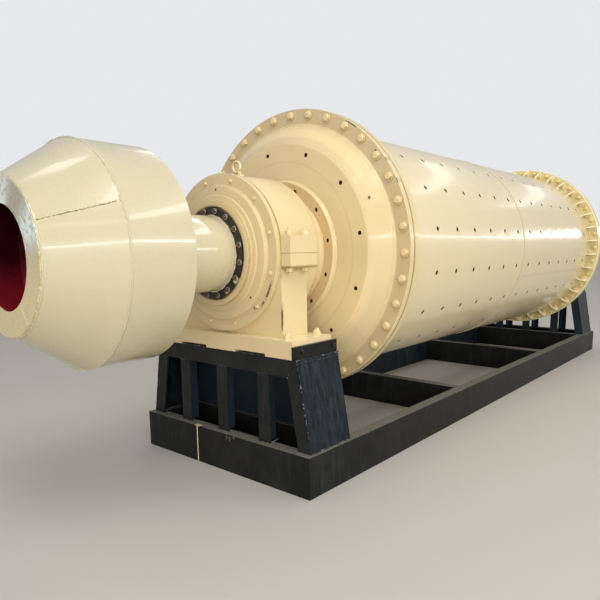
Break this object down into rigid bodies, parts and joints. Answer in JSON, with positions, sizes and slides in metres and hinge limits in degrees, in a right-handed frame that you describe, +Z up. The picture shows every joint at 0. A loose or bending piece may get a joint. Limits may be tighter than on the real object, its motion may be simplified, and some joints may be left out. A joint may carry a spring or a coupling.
{
  "type": "ball mill",
  "caption": "Overflow ball mill: flanged steel drum on two trunnion bearings, conical feed drum at one end, ribbed gear-mounting flange at the other, on pedestals and a beam skid.",
  "frame": {"origin": "on the floor, under the middle of the overall length and on the mill's centre plane", "axes": "+X along the mill axis from the feed drum to the discharge trunnion, +Z up, +Y to the left when looking along +X"},
  "size_m": [7.808, 2.09, 2.545],
  "materials": {
    "cream_paint": "gloss",
    "black_paint": "satin, dusty"
  },
  "bodies": {
    "skid": {"side_rail_near": "black_paint", "side_rail_far": "black_paint", "end_beam_feed": "black_paint", "end_beam_discharge": "black_paint", "inner_beam_feed": "black_paint", "inner_beam_discharge": "black_paint", "cross_beam_feed": "black_paint", "cross_beam_discharge": "black_paint", "pedestal_feed": "black_paint", "pedestal_discharge": "black_paint", "stop_plates": "black_paint", "bearing_base_feed": "cream_paint", "bearing_base_discharge": "cream_paint", "bearing_cap_feed": "cream_paint", "bearing_cap_discharge": "cream_paint", "end_cover_feed": "cream_paint", "end_cover_discharge": "cream_paint", "inner_cover_feed": "cream_paint", "inner_cover_discharge": "cream_paint", "lifting_eye_feed": "cream_paint", "lifting_eye_discharge": "cream_paint", "cap_bolts": "cream_paint", "foundation_bolts": "cream_paint"},
    "mill": {"mouth_ring": "cream_paint", "drum_cone": "cream_paint", "drum_barrel": "cream_paint", "drum_back_plate": "cream_paint", "neck_pipe": "cream_paint", "lock_ring": "black_paint", "trunnion_feed": "cream_paint", "trunnion_discharge": "cream_paint", "head_feed": "cream_paint", "head_discharge": "cream_paint", "head_bolts_feed": "cream_paint", "head_bolts_discharge": "cream_paint", "shell_feed_course": "cream_paint", "shell_discharge_course": "cream_paint", "shell_flange": "cream_paint", "gear_flange": "cream_paint"}
  },
  "joints": [
    {"name": "mill_spin", "type": "hinge", "parent": "skid", "child": "mill", "pos_m": [0, 0, 1.5], "axis": [1, 0, 0], "continuous": true}
  ]
}
